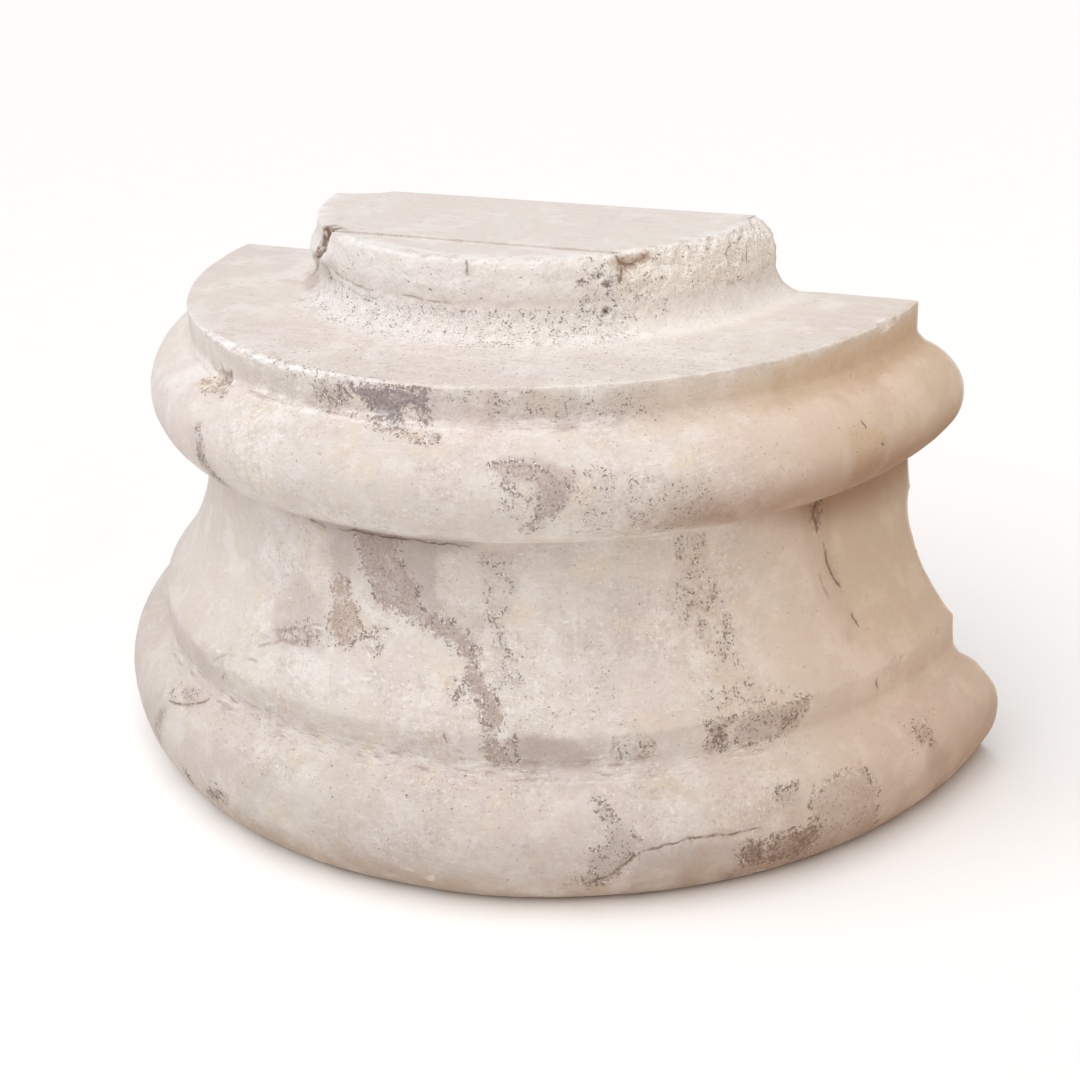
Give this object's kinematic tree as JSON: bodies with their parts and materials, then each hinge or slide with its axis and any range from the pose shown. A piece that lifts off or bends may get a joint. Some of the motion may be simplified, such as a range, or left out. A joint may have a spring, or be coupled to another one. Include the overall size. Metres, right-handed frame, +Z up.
{
  "type": "half-round column base",
  "caption": "Half-round stone base for an engaged column: torus, scotia and torus mouldings in front, flat sawn back, and a low raised seat for the shaft on top.",
  "frame": {"origin": "middle of the footprint, on the bed that the block stands on", "axes": "+Z up through the seat for the shaft, +X along the length of the flat back, +Y towards the wall, so the moulded front faces -Y"},
  "size_m": [0.5983, 0.2902, 0.3257],
  "materials": {
    "stone": "matt, hand-dressed and weathered, pale cream with grey and brown veins and small pits"
  },
  "bodies": {
    "root": {"column_base": "stone"}
  },
  "joints": []
}
